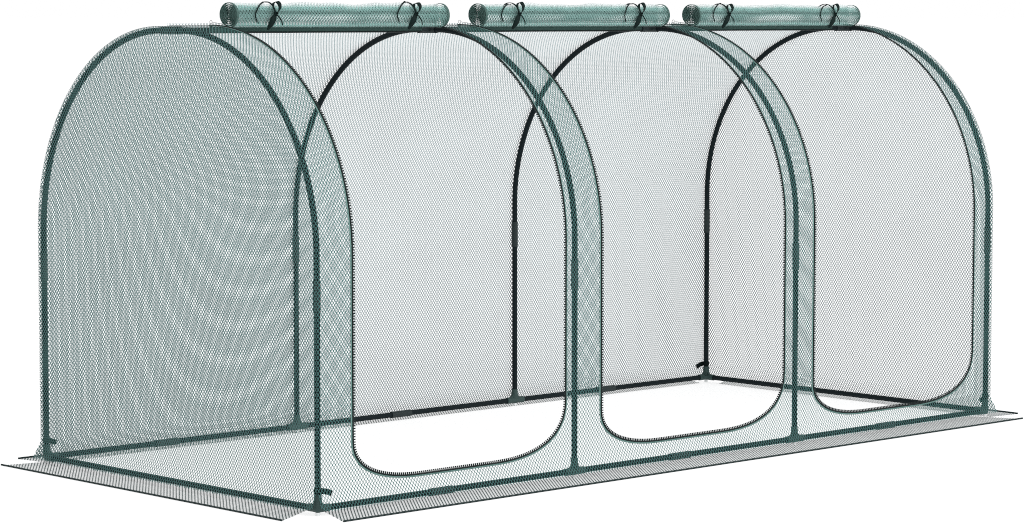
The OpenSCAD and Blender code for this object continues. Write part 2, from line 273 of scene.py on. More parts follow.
def noise(nodes, where, scale, detail=2.0):
    return nodes.value("ShaderNodeTexNoise", None, {"Vector": where, "Scale": scale, "Detail": detail}, "Fac")


def bump(nodes, height, distance, strength=1.0):
    return nodes.value(
        "ShaderNodeBump", None, {"Height": height, "Distance": distance, "Strength": strength}, "Normal"
    )


def tube_paint(colour):
    """Powder coat on steel: fine orange peel, and slightly uneven gloss."""
    def recipe(nodes, where):
        cloud = noise(nodes, where, 14.0)
        peel = noise(nodes, where, 900.0)
        return {
            "Base Color": nodes.mix(cloud, shade(colour, 0.75), shade(colour, 1.3)),
            "Roughness": 0.42 + 0.16 * cloud,
            "Normal": bump(nodes, peel, 0.06 * MM),
        }
    return finish("tube paint", recipe, specular_ior_level=0.08)


def moulded_plastic(name, colour):
    """Moulded sockets: eroded grain and faint flow marks, and pale feet."""
    def recipe(nodes, where):
        flow = noise(nodes, where, 40.0, 3.0)
        grain = noise(nodes, where, 1600.0)
        foot = nodes.math("LESS_THAN", nodes.along(where, "Z"), RAIL_Z - 1.2 * TUBE_R)
        socket = nodes.mix(flow, shade(colour, 0.82), shade(colour, 1.15))
        return {
            "Base Color": nodes.mix(foot, socket, PALE_PLASTIC),
            "Roughness": 0.46 + 0.2 * flow,
            "Normal": bump(nodes, grain + 0.4 * flow, 0.05 * MM),
        }
    return finish(name, recipe, specular_ior_level=0.3)


def knitted(name, colour, roughness=0.55, painted_light=()):
    """Knitted plastic yarn: broad fading, and filaments that run as fine ridges.

    The optional pairs give a height, as a share of the ridge's, and how light the yarn is painted there:
    painted shade low down and painted light towards the ridge.
    """
    def recipe(nodes, where):
        fade = noise(nodes, where, 5.0, 3.0)
        filament = noise(nodes, where, 1400.0, 1.0)
        tones = [shade(colour, 0.84), shade(colour, 1.14)]
        if painted_light:
            # Painted light and shade by height, lighter towards the ridge
            level = nodes.along(where, "Z") * (1 / RIDGE_Z)
            tones = [nodes.ramp(level, [(at, shade(tone, by)) for at, by in painted_light]) for tone in tones]
        return {
            "Base Color": nodes.mix(fade + 0.3 * filament - 0.15, *tones),
            "Roughness": roughness + 0.15 * filament,
            "Normal": bump(nodes, filament, 0.12 * MM),
        }
    return finish(name, recipe, specular_ior_level=0.15)


def rolled_yarn(colour):
    """Yarn of the rolled doors, with painted light and shade by height round the roll: painted light on top
    and in a row low down, and a band of painted shade where the turns lie close.

    Painted glints, rows of highlights that slant across the lower half, show in patches.
    """
    row = 13.5 * MM
    slope = 1.33

    def recipe(nodes, where):
        x, z = nodes.along(where, "X"), nodes.along(where, "Z")
        wander = noise(nodes, where, 7.0, 3.0)
        level = (z - (ROLL_Z - ROLL_R)) * (0.5 / ROLL_R) + 0.16 * wander - 0.08
        # Painted light and shade by height round the roll
        turns = nodes.ramp(level, [
            (0.0, shade(colour, 0.8)), (0.1, shade(colour, 1.9)), (0.2, shade(colour, 0.9)),
            (0.5, shade(colour, 1.05)), (0.6, shade(colour, 0.62)), (0.66, shade(colour, 0.95)),
            (0.8, shade(colour, 1.5)), (0.95, PAINTED_LIT_YARN),
        ])
        # Painted glints, in slanting rows, kept to the lower half
        lower = nodes.ramp(level, [(0.15, BLACK), (0.3, WHITE), (0.42, WHITE), (0.55, BLACK)])
        rows = nodes.math("SINE", (x * slope - z) * (2 * math.pi / row))
        glint = rows * 2.5 - 6.0 + 9.0 * noise(nodes, where, 6.0)
        glint = nodes.math("MINIMUM", nodes.math("MAXIMUM", glint, 0.0), 1.0)
        return {
            "Base Color": nodes.mix(glint * lower, turns, YARN_GLINT),
            "Roughness": 0.55 + 0.1 * wander,
        }
    return finish("door yarn", recipe, specular_ior_level=0.15)


def woven(name, colour, lines, roughness=0.6):
    """Woven tape: ribs in both directions, about so many ridges and grooves to the metre."""
    def recipe(nodes, where):
        turned = nodes.add("ShaderNodeMapping", None, {"Vector": where, "Rotation": WEAVE_TURN})
        wave = {"Vector": turned.outputs["Vector"], "Scale": lines / WAVE_LINES, "Distortion": 0.0}
        warp = nodes.value("ShaderNodeTexWave", {"bands_direction": "X"}, wave, "Fac")
        weft = nodes.value("ShaderNodeTexWave", {"bands_direction": "Y"}, wave, "Fac")
        cloth = 0.5 * warp + 0.5 * weft
        wear = noise(nodes, where, 60.0)
        return {
            "Base Color": nodes.mix(0.6 * cloth + 0.4 * wear, shade(colour, 0.7), shade(colour, 1.3)),
            "Roughness": roughness + 0.2 * wear,
            "Normal": bump(nodes, cloth, 0.2 * MM),
        }
    return finish(name, recipe, specular_ior_level=0.08)


# ---------- meshes ----------

def linked(name, data):
    """A new object in the scene."""
    item = bpy.data.objects.new(name, data)
    bpy.context.scene.collection.objects.link(item)
    return item


def wearing(mesh, material):
    """The mesh with one material."""
    mesh.materials.clear()
    mesh.materials.append(material)
    return mesh


def show(name, mesh, replaced=()):
    """Links a finished mesh as a piece of the object."""
    piece = linked(name, mesh)
    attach(piece, BODY)
    if replaced:
        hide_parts(*replaced)
    return piece


def mesh_of(name, points, faces, smooth=True):
    mesh = bpy.data.meshes.new(name)
    mesh.from_pydata(np.asarray(points, float).tolist(), [], np.asarray(faces).tolist())
    mesh.shade_smooth() if smooth else mesh.shade_flat()
    mesh.update()
    return mesh


def bake_map(mesh, across, up):
    """A map for baking that lays the mesh out on two of its axes."""
    points = np.empty(3 * len(mesh.vertices), np.float32)
    mesh.vertices.foreach_get("co", points)
    flat = points.reshape(-1, 3)[:, [across, up]]
    flat = (flat - flat.min(0)) / np.ptp(flat, axis=0)
    corners = np.empty(len(mesh.loops), np.int32)
    mesh.loops.foreach_get("vertex_index", corners)
    mesh.uv_layers.new(name="OFBake").data.foreach_set("uv", flat[corners].ravel())


def unit(vectors):
    vectors = np.asarray(vectors, float)
    return vectors / np.linalg.norm(vectors, axis=-1, keepdims=True)


def paired(first, second):
    """Points of two edges, taken in turn."""
    return np.stack([first, second], 1).reshape(-1, np.shape(first)[1])


def strip_faces(count, start=0):
    """Faces of a strip between two edges of count points each, taken in turn."""
    return start + 2 * np.arange(count - 1)[:, None] + np.array([0, 1, 3, 2])


def joined(parts):
    """Points and faces of several parts as one."""
    points, faces, start = [], [], 0
    for part_points, part_faces in parts:
        points.append(part_points)
        faces.append(np.asarray(part_faces) + start)
        start += len(part_points)
    return np.concatenate(points), np.concatenate(faces)


# ---------- geometry nodes ----------

def node_tree(name, inputs):
    """A geometry node tree with a Geometry socket each way and the named inputs."""
    tree = bpy.data.node_groups.new(name, "GeometryNodeTree")
    tree.interface.new_socket("Geometry", in_out="INPUT", socket_type="NodeSocketGeometry")
    for key, kind in inputs.items():
        tree.interface.new_socket(key, in_out="INPUT", socket_type=f"NodeSocket{kind}")
    tree.interface.new_socket("Geometry", in_out="OUTPUT", socket_type="NodeSocketGeometry")
    nodes = Nodes(tree)
    return nodes, nodes.add("NodeGroupInput").outputs


def close_tree(nodes, geometry, material):
    """Ends a tree: instances are realized and wear the material."""
    real = nodes.add("GeometryNodeRealizeInstances", None, {"Geometry": geometry})
    dressed = nodes.add("GeometryNodeSetMaterial", None, {"Geometry": real.outputs[0], "Material": material})
    nodes.add("NodeGroupOutput", None, {"Geometry": dressed.outputs[0]})
    return nodes.tree


def repeat_tree(shape):
    """Puts a shape, one unit across, on each point, turned to the point's run and face directions."""
    name = f"repeat {shape}"
    if name in bpy.data.node_groups:
        return bpy.data.node_groups[name]
    nodes, given = node_tree(name, {"Size": "Vector", "Material": "Material"})
    if shape == "knot":
        one = nodes.add("GeometryNodeMeshCircle", {"fill_type": "NGON"}, {"Vertices": 4, "Radius": 0.5})
    elif shape == "stitch":
        upright = nodes.add("GeometryNodeMeshCylinder", None, {"Vertices": 6, "Radius": 0.5, "Depth": 1.0})
        one = nodes.add(
            "GeometryNodeTransform", None,
            {"Geometry": upright.outputs["Mesh"], "Rotation": (0, math.pi / 2, 0)},
        )
    else:
        one = nodes.add("GeometryNodeMeshCube", None, {"Size": (1.0, 1.0, 1.0)})
    vector = {"data_type": "FLOAT_VECTOR"}
    run, face = (
        nodes.value("GeometryNodeInputNamedAttribute", vector, {"Name": key}, "Attribute")
        for key in ("run", "face")
    )
    turn = nodes.add(
        "FunctionNodeAxesToRotation", {"primary_axis": "Z", "secondary_axis": "X"},
        {"Primary Axis": face, "Secondary Axis": run},
    )
    placed = nodes.add(
        "GeometryNodeInstanceOnPoints", None,
        {
            "Points": given["Geometry"],
            "Instance": one.outputs[0],
            "Rotation": turn.outputs[0],
            "Scale": given["Size"],
        },
    )
    return close_tree(nodes, placed.outputs[0], given["Material"])


def cord_tree():
    """Gives an edge path a round section."""
    name = "cord along path"
    if name in bpy.data.node_groups:
        return bpy.data.node_groups[name]
    nodes, given = node_tree(name, {"Radius": "Float", "Sides": "Int", "Material": "Material"})
    path = nodes.add("GeometryNodeMeshToCurve", None, {"Mesh": given["Geometry"]})
    ring = nodes.add(
        "GeometryNodeCurvePrimitiveCircle", None, {"Resolution": given["Sides"], "Radius": given["Radius"]}
    )
    tube = nodes.add(
        "GeometryNodeCurveToMesh", None,
        {"Curve": path.outputs[0], "Profile Curve": ring.outputs[0], "Fill Caps": True},
    )
    smooth = nodes.add("GeometryNodeSetShadeSmooth", None, {"Geometry": tube.outputs[0]})
    return close_tree(nodes, smooth.outputs[0], given["Material"])


def modified(mesh, kind, set_up):
    """The plain mesh that one modifier makes of a mesh."""
    carrier = linked(mesh.name, mesh)
    set_up(carrier.modifiers.new(kind.lower(), kind))
    depsgraph = bpy.context.evaluated_depsgraph_get()
    made = bpy.data.meshes.new_from_object(carrier.evaluated_get(depsgraph))
    carrier.modifiers.clear()
    bpy.data.objects.remove(carrier)
    return made


def thickened(mesh, thickness):
    """A sheet mesh given a thickness, centred on the sheet."""
    def set_up(shell):
        shell.thickness = thickness
        shell.offset = 0.0
    return modified(mesh, "SOLIDIFY", set_up)


def grown(mesh, tree, values):
    """The plain mesh that a geometry node tree makes of a mesh."""
    def set_up(growth):
        growth.node_group = tree
        for item in tree.interface.items_tree:
            if item.in_out == "INPUT" and item.name in values:
                growth[item.identifier] = values[item.name]
    return modified(mesh, "NODES", set_up)


def repeated(name, shape, points, run, face, size, material):
    """A mesh of one small shape on every point."""
    mesh = bpy.data.meshes.new(name)
    mesh.from_pydata(np.asarray(points, float).tolist(), [], [])
    for key, vectors in (("run", run), ("face", face)):
        spread = np.broadcast_to(np.asarray(vectors, np.float32), (len(points), 3))
        mesh.attributes.new(key, "FLOAT_VECTOR", "POINT").data.foreach_set("vector", spread.ravel())
    return grown(mesh, repeat_tree(shape), {"Size": size, "Material": material})


def corded(name, points, radius, sides, material):
    """A mesh cord along points."""
    edges = [(k, k + 1) for k in range(len(points) - 1)]
    mesh = bpy.data.meshes.new(name)
    mesh.from_pydata(np.asarray(points, float).tolist(), edges, [])
    return grown(mesh, cord_tree(), {"Radius": radius, "Sides": sides, "Material": material})


def merged(name, meshes):
    """Several plain meshes as one, each with its own material."""
    parts = [linked(name, mesh) for mesh in meshes]
    with bpy.context.temp_override(
        active_object=parts[0], selected_objects=parts, selected_editable_objects=parts
    ):
        bpy.ops.object.join()
    whole = parts[0].data
    bpy.data.objects.remove(parts[0])
    whole.name = name
    return whole


# ---------- surfaces of the cloth ----------

class Profile:
    """A line in two directions, measured along itself, that a sheet follows."""

    def __init__(self, points, outward=1.0):
        self.points = np.asarray(points, float)
        steps = np.linalg.norm(np.diff(self.points, axis=0), axis=1)
        self.at = np.concatenate([[0.0], np.cumsum(steps)])
        tangent = unit(np.gradient(self.points, self.at, axis=0))
        self.normal = outward * np.stack([tangent[:, 1], -tangent[:, 0]], 1)
        self.length = self.at[-1]

    def place(self, v, lift):
        """Position and normal, each as two arrays, at lengths v and raised by lift."""
        a, b = (np.interp(v, self.at, self.points[:, k]) for k in (0, 1))
        m, n = (np.interp(v, self.at, self.normal[:, k]) for k in (0, 1))
        return a + m * lift, b + n * lift, m, n


def wall_profile(start, top_points):
    """Foot, spread and wall of a sheet whose upright part stands at start."""
    return [(start + FLARE_OUT, FOOT_Z), (start, FLARE_TOP)] + top_points


def cover_profile(offset, seam=0.0):
    """Cross-section of the cover on one side, from the ground up to the ridge, as distances out and up."""
    radius = BEND_R + offset
    bend = [
        (CROWN_FLAT + radius * math.cos(a), BEND_Z + radius * math.sin(a))
        for a in np.linspace(0, math.pi / 2, BEND_STEPS)
    ]
    points = wall_profile(HALF_W + offset, bend + [(0.0, RIDGE_Z + offset)])
    return points + ([(0.0, RIDGE_Z + offset + seam)] if seam else [])


class Wall:
    """A sheet that follows a wall profile; v runs up the cloth from the ground."""

    def __init__(self, side, profile):
        self.side = side
        self.profile = profile
        self.flare_v = profile.at[1]
        self.breaks = profile.at[1:-1]

    def height(self, z):
        """Length up the cloth to a height on the upright wall."""
        return self.flare_v + z - FLARE_TOP

    def foot(self):
        """Lower edge of the net: how far up the cloth it lies, and how far it is spread there."""
        return FOOT_SHARE * self.flare_v, (1 - FOOT_SHARE) * FLARE_OUT


class Cover(Wall):
    """The long cover on one side of the ridge: u runs along the ridge."""

    bake_axes = (0, 2)

    def __init__(self, side, seam=0.0):
        super().__init__(side, Profile(cover_profile(SHEET, seam)))
        self.breaks = self.breaks[::2]
        self.crown_v = Profile(cover_profile(SHEET)).length

    def place(self, u, v, lift=0.0):
        y, z, ny, nz = self.profile.place(v, lift)
        return np.stack([u, self.side * y, z], -1), np.stack([0 * u, self.side * ny, nz], -1)


class EndWall(Wall):
    """The flat net over an end hoop: u runs across the cage."""

    bake_axes = (1, 2)

    def __init__(self, side):
        x = HALF_L + SHEET
        super().__init__(side, Profile(wall_profile(x, [(x, RIDGE_Z + 2 * SEAM_H + NET_OUT)])))

    def place(self, u, v, lift=0.0):
        x, z, nx, nz = self.profile.place(v, lift)
        return np.stack([self.side * x, u, z], -1), np.stack([self.side * nx, 0 * u, nz], -1)


class Skirt:
    """A skirt on the ground, its inner edge tucked under the rail: u runs along the wall, v out from it."""

    bake_axes = (0, 1)
    breaks = np.array([])     # it lies flat, so a thread has no points between its ends

    def __init__(self, name):
        self.along_x = name in ("front", "back")
        self.side = -1 if name in ("front", "left") else 1
        half, self.run = (HALF_W, HALF_L) if self.along_x else (HALF_L, HALF_W)
        self.tuck = SKIRT_TUCK[name]
        ends = [(half - self.tuck, FOOT_Z / 2), (half + SKIRT_REACH, FOOT_Z / 2)]
        self.profile = Profile(ends, outward=-1.0)

    def place(self, u, v, lift=0.0):
        out, z, n_out, n_z = self.profile.place(v, lift)
        order = (slice(None), [0, 1, 2] if self.along_x else [1, 0, 2])
        turned = (self.side, self.side, 1)
        return np.stack([u, out, z], 1)[order] * turned, np.stack([0 * u, n_out, n_z], 1)[order] * turned


# ---------- the knotted net ----------

class Lattice:
    """Diagonal threads that cross at knots: pitch along the rows and up the cloth, and the thread's width."""

    def __init__(self, sizes, fineness=1.0):
        self.pitch = sizes.net_pitch
        self.rise = sizes.net_rise
        self.width = sizes.thread_width * fineness
        self.knot = (sizes.knot_width * fineness, sizes.knot_height * fineness)

    def changed(self, **measures):
        """The same lattice with some measures changed."""
        other = copy.copy(self)
        vars(other).update(measures)
        return other

    @property
    def share(self):
        """Area of the threads and knots, as a share of the net's."""
        across = self.pitch * self.rise / math.hypot(self.pitch, self.rise)
        return 2 * self.width / across + self.knot[0] * self.knot[1] / (self.pitch * self.rise)

    def threads(self, ring, lean):
        """Stretches of one family's threads inside a ring: each as intercept, low end and high end."""
        slope = lean * self.pitch / self.rise
        ring = np.asarray(ring, float)
        found = []
        for (u0, v0), (u1, v1) in zip(ring, np.roll(ring, -1, axis=0)):
            c0, c1 = (u0 - slope * v0) / self.pitch, (u1 - slope * v1) / self.pitch
            low, high = min(c0, c1), max(c0, c1)
            for n in range(math.ceil(low), math.ceil(high)):
                found.append((n, v0 + (v1 - v0) * (n - c0) / (c1 - c0)))
        found.sort()
        return slope, [(n * self.pitch, a, b) for (n, a), (_, b) in zip(found[::2], found[1::2])]

    def knots(self, ring):
        """Crossing points of the threads inside a ring."""
        ring = np.asarray(ring, float)
        low, high = ring.min(0), ring.max(0)
        m = np.arange(math.floor(2 * low[0] / self.pitch), math.ceil(2 * high[0] / self.pitch) + 1)
        n = np.arange(math.floor(2 * low[1] / self.rise), math.ceil(2 * high[1] / self.rise) + 1)
        m, n = (a.ravel() for a in np.meshgrid(m, n))
        even = (m + n) % 2 == 0
        u, v = m[even] * self.pitch / 2, n[even] * self.rise / 2
        inside = np.zeros(len(u), bool)
        for (u0, v0), (u1, v1) in zip(ring, np.roll(ring, -1, axis=0)):
            if v0 != v1:
                crosses = (v0 > v) != (v1 > v)
                inside ^= crosses & (u < u0 + (u1 - u0) * (v - v0) / (v1 - v0))
        return u[inside], v[inside]


def thread_ribbons(lattice, surface, ring):
    """Points and faces of all threads of a net, one family lying over the other."""
    flats, faces, lifts, start = [], [], [], 0
    for lean in (1, -1):
        slope, threads = lattice.threads(ring, lean)
        side = np.array([1.0, -slope]) * lattice.width / 2 / math.hypot(1.0, slope)
        for c, low, high in threads:
            inner = surface.breaks[(surface.breaks > low) & (surface.breaks < high)]
            v = np.concatenate([[low], inner, [high]])
            line = np.stack([c + slope * v, v], 1)
            flats.append(paired(line - side, line + side))
            faces.append(strip_faces(len(v), start))
            lifts.append(np.full(2 * len(v), lean * PLY_GAP / 2))
            start += 2 * len(v)
    points, _ = surface.place(*np.concatenate(flats).T, np.concatenate(lifts))
    return points, np.concatenate(faces)


def net(name, surface, ring, lattice, material, replaced):
    """One net sheet with its threads and knots as a real mesh."""
    threads = wearing(mesh_of(name, *thread_ribbons(lattice, surface, ring)), material)
    u, v = lattice.knots(ring)
    centre, face = surface.place(u, v)
    ahead, _ = surface.place(u, v + MM)
    size = (lattice.knot[1], lattice.knot[0], 1.0)
    knots = repeated(f"{name}_knots", "knot", centre, unit(ahead - centre), face, size, material)
    whole = merged(name, [threads, knots])
    bake_map(whole, *surface.bake_axes)
    return show(name, whole, replaced)


def declare(ring, lattice, flat=None):
    """Works out a net's cut size from its ring, unless one is given, and does nothing with it."""
    flat = flat or tuple(np.ptp(np.asarray(ring, float), axis=0))


def corner(width, height, steps):
    """A doorway's rounded corner, from its upright side down to the sill."""
    power = 2 / CORNER_POWER
    return [
        (width * (1 - abs(math.cos(a)) ** power), height * (1 - abs(math.sin(a)) ** power))
        for a in np.linspace(0, math.pi / 2, steps)
    ]


def doorway_path(cover, door, grow=0.0, steps=NET_STEPS):
    """A doorway's edge as u and v, down its left side, along the sill and up its right side."""
    left, right = DOOR_X[door][0] - grow, DOOR_X[door][1] + grow
    sill = cover.height(SILL_Z - grow)
    top = cover.crown_v - DOOR_TOP
    lefts = corner(CORNER_LEFT[0] + grow, CORNER_LEFT[1] + grow, steps)
    rights = corner(CORNER_RIGHT[0] + grow, CORNER_RIGHT[1] + grow, steps)
    path = [(left, top)]
    path += [(left + a, sill + b) for a, b in lefts]
    path += [(right - a, sill + b) for a, b in reversed(rights)]
    return path + [(right, top)]


# ---------- sizes and colours that a user would change ----------

def measure(name, text, value):
    return FloatProperty(name=name, description=text, default=value, unit="LENGTH")


def tint(name, text, value):
    return FloatVectorProperty(
        name=name, description=text, default=value, size=3, min=0, max=1, subtype="COLOR"
    )


class CageSizes(bpy.types.PropertyGroup):
    """Sizes of the cloth and trim"""

    net_pitch: measure("Net pitch", "Distance between knots along a row", 10.1 * MM)
    net_rise: measure("Net rise", "Distance between knots up the cloth", 13.5 * MM)
    thread_width: measure("Thread width", "Width of a thread", 1.5 * MM)
    knot_width: measure("Knot width", "Width of a knot along a row", 3.2 * MM)
    knot_height: measure("Knot height", "Height of a knot up the cloth", 5.0 * MM)
    hem_radius: measure("Hem radius", "Half the thickness of a skirt's corded hem", 2.6 * MM)
    tooth_pitch: measure("Tooth pitch", "Distance between zip teeth", 7 * MM)
    stitch_pitch: measure("Stitch pitch", "Distance between seam stitches", 5 * MM)
    door_fineness: FloatProperty(
        name="Door fineness", description="Thread of the doors, as a share of the cover's", default=0.68,
        min=0.2, max=1.0)
    roll_turns: FloatProperty(
        name="Roll turns", description="Turns in a rolled-up door", default=5.4, min=3.0, max=7.0)
    roll_waves: measure("Roll waves", "Height of the waves along a rolled-up door", 4.5 * MM)


class CageColours(bpy.types.PropertyGroup):
    """Colours of the finishes"""

    net: tint("Net", "Knitted net", (0.058, 0.152, 0.144))
    end_net: tint("End net", "Knitted net of the left end", (0.070, 0.165, 0.157))
    # Painted light: the back and the right end, seen from inside the cage, wear a much lighter copy of the
    # net's yarn for the light from behind
    backlit_net: tint("Backlit net", "Knitted net of the back and the right end", (0.34, 0.40, 0.41))
    # Painted light: the doors' yarn is much lighter than the cover's, for the light that passes through the
    # many layers of a rolled door
    door_net: tint("Door net", "Finer net of the doors", (0.19, 0.335, 0.312))
    tube: tint("Tube", "Powder coat on the tubes", (0.006, 0.011, 0.013))
    fitting: tint("Fitting", "Moulded sockets and couplers", (0.010, 0.019, 0.020))
    foot: tint("Foot", "Moulded sockets at the rails", (0.024, 0.050, 0.047))
    tape: tint("Zip tape", "Woven tape beside a zip", (0.15, 0.26, 0.24))
    edge_tape: tint("Door edge", "Tape along the edges of a door", (0.068, 0.124, 0.112))
    teeth: tint("Zip teeth", "Moulded teeth and their cord", (0.006, 0.012, 0.012))
    ribbon: tint("Ribbon", "Ribbons round the rolled doors", (0.004, 0.012, 0.011))
    webbing: tint("Webbing", "Straps at the corners", (0.004, 0.008, 0.008))
    hem: tint("Hem", "Corded hem of the skirts", (0.018, 0.030, 0.030))
    floor: tint("Floor", "Studio floor", (0.34, 0.34, 0.34))


def chosen(context):
    return context.scene.cage_sizes, context.scene.cage_colours


# ---------- operators ----------

class CAGE_OT_stage(bpy.types.Operator):
    """Pale floor, soft studio light and the camera"""

    bl_idname = "cage.stage"
    bl_label = "Studio"
    floor_reach = 900.0
    floor_glow = 0.72
    lamp_size = 4.0
    key_lamp = {"place": (2.5, -7.5, 5.5), "power": 420}
    fill_lamp = {"place": (-7.0, -3.0, 4.0), "power": 30}
    camera_place = (-6.0393, -6.3021, 1.2577)
    camera_heading = 43.19    # degrees from the y axis towards x
    camera_dip = 4.776        # degrees below the level
    camera_roll = 0.0235
    focal_length = 103.71
    sensor_width = 36.0
    sight = (0.1, 3000.0)

    def execute(self, context):
        _, colours = chosen(context)
        scene = context.scene
        self.floor(colours.floor)
        self.sky(scene)
        self.lamp("key", **self.key_lamp)
        self.lamp("fill", **self.fill_lamp)
        self.camera(scene)
        scene.view_settings.view_transform = "Standard"
        scene.cycles.pixel_filter_type = "BOX"
        scene.cycles.use_denoising = False
        return {"FINISHED"}

    def floor(self, colour):
        reach = self.floor_reach
        square = [(-reach, -reach, 0), (reach, -reach, 0), (reach, reach, 0), (-reach, reach, 0)]
        mesh = mesh_of("floor", square, [(0, 1, 2, 3)], smooth=False)

        def recipe(nodes, where):
            cloud = noise(nodes, where, 0.4)
            return {"Base Color": nodes.mix(cloud, shade(colour, 0.995), shade(colour, 1.0))}
        material = finish(
            "studio floor", recipe, roughness=0.9, specular_ior_level=0.0,
            emission_color=WHITE, emission_strength=self.floor_glow,
        )
        linked("floor", wearing(mesh, material))

    def sky(self, scene):
        world = bpy.data.worlds.new("studio")
        world.use_nodes = True
        light = world.node_tree.nodes["Background"].inputs
        light["Color"].default_value = WHITE
        light["Strength"].default_value = 1.0
        scene.world = world

    def lamp(self, name, place, power):
        """An area lamp that faces the middle of the cage."""
        light = bpy.data.lights.new(name, "AREA")
        light.size = self.lamp_size
        light.energy = power
        lamp = linked(name, light)
        lamp.location = place
        aim = -lamp.location
        aim.z += RIDGE_Z / 2
        lamp.rotation_euler = aim.to_track_quat("-Z", "Y").to_euler()

    def camera(self, scene):
        lens = bpy.data.cameras.new("camera")
        lens.lens = self.focal_length
        lens.sensor_width = self.sensor_width
        lens.clip_start, lens.clip_end = self.sight
        camera = linked("camera", lens)
        camera.location = self.camera_place
        turns = (90 - self.camera_dip, -self.camera_roll, -self.camera_heading)
        camera.rotation_euler = [math.radians(turn) for turn in turns]
        scene.camera = camera


class CAGE_OT_paint_frame(bpy.types.Operator):
    """Paint on the tubes and the finish of the moulded sockets"""

    bl_idname = "cage.paint_frame"
    bl_label = "Tubes and Fittings"

    def execute(self, context):
        _, colours = chosen(context)
        for names, material in (
            (TUBE_NODES, tube_paint(colours.tube)),
            (FITTING_NODES, moulded_plastic("moulded plastic", colours.fitting)),
            (FOOT_NODES, moulded_plastic("moulded plastic feet", colours.foot)),
        ):
            for name in names:
                wearing(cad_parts[name].data, material)
        return {"FINISHED"}


class CAGE_OT_hang_nets(bpy.types.Operator):
    """The net cover: back, ends and the parts of the front round the doorways"""

    bl_idname = "cage.hang_nets"
    bl_label = "Net Cover"

    def execute(self, context):
        sizes, colours = chosen(context)
        lattice = Lattice(sizes)
        yarn = knitted("net yarn", colours.net)
        # The back and the right end wear the lighter yarn, with painted light from behind
        backlit = knitted("faded yarn", colours.backlit_net, painted_light=PAINTED_LIGHT_BY_HEIGHT)
        self.back(lattice.changed(width=BACK_THREAD), backlit)
        self.end(1, "right", 4, lattice.changed(width=RIGHT_THREAD), backlit)
        self.end(-1, "left", 1, lattice.changed(width=END_THREAD), knitted("end yarn", colours.end_net))
        cover = Cover(-1)
        self.foot(cover, lattice, yarn)
        self.ridge(cover, lattice, yarn)
        for hoop in HOOPS:
            self.post(cover, hoop, lattice, yarn)
        return {"FINISHED"}

    def back(self, lattice, yarn):
        cover = Cover(1, SEAM_H)
        end, top = COVER_END, cover.profile.length
        low, spread = cover.foot()
        ring = [(-end - spread, low), (end - NOTCH, low), (end, NOTCH_RISE * low), (end, top), (-end, top),
                (-end, cover.flare_v)]
        piece = net("back_net_cloth", cover, ring, lattice, yarn, ["back_net"])
        declare(ring, lattice)

    def end(self, side, name, hoop, lattice, yarn):
        wall = EndWall(side)
        low, spread = wall.foot()
        outline = [(y, wall.height(z)) for y, z in cover_profile(NET_IN)[1:]]
        whole = [(outline[0][0] + spread, low), *outline]
        notched = [(HALF_W - NOTCH, low), (outline[0][0], NOTCH_RISE * low), *outline[:-1]]
        ring = [(side * -y, v) for y, v in whole] + [(side * y, v) for y, v in reversed(notched)]
        piece = net(f"{name}_end_cloth", wall, ring, lattice, yarn, [f"{name}_end_net"])
        declare(ring, lattice)

    def foot(self, cover, lattice, yarn):
        """The net below the doorways."""
        end, sill = COVER_END, cover.height(SILL_Z)
        low, spread = cover.foot()
        ring = [(-end + NOTCH, low), (end + spread, low), (end, cover.flare_v), (end, sill), (-end, sill),
                (-end, NOTCH_RISE * low)]
        piece = net("front_foot_cloth", cover, ring, lattice, yarn, FRONT_NETS)
        declare(ring, lattice)

    def ridge(self, cover, lattice, yarn):
        """The net between the doorways' tops and the ridge."""
        end, top = COVER_END, cover.crown_v
        ring = [(-end, top - DOOR_TOP), (end, top - DOOR_TOP), (end, top), (-end, top)]
        piece = net("front_ridge_cloth", cover, ring, lattice, yarn, FRONT_NETS)
        declare(ring, lattice)

    def post(self, cover, hoop, lattice, yarn):
        """The net between two doorways, or between a doorway and the end of the cage."""
        sill, top = cover.height(SILL_Z), cover.crown_v - DOOR_TOP
        left_edge = [(-COVER_END, sill), (-COVER_END, top)]
        right_edge = [(COVER_END, top), (COVER_END, sill)]
        if hoop > HOOPS[0]:
            path = doorway_path(cover, hoop - 1)
            left_edge = path[len(path) // 2:]
        if hoop < HOOPS[-1]:
            path = doorway_path(cover, hoop)
            right_edge = path[:len(path) // 2]
        ring = left_edge + right_edge
        near = [f"front_net_{i}" for i in DOORS if i in (hoop - 1, hoop)]
        piece = net(f"front_post_{hoop}_cloth", cover, ring, lattice, yarn, near)
        width = right_edge[0][0] - left_edge[-1][0]
        declare(ring, lattice, flat=(width, top - sill))


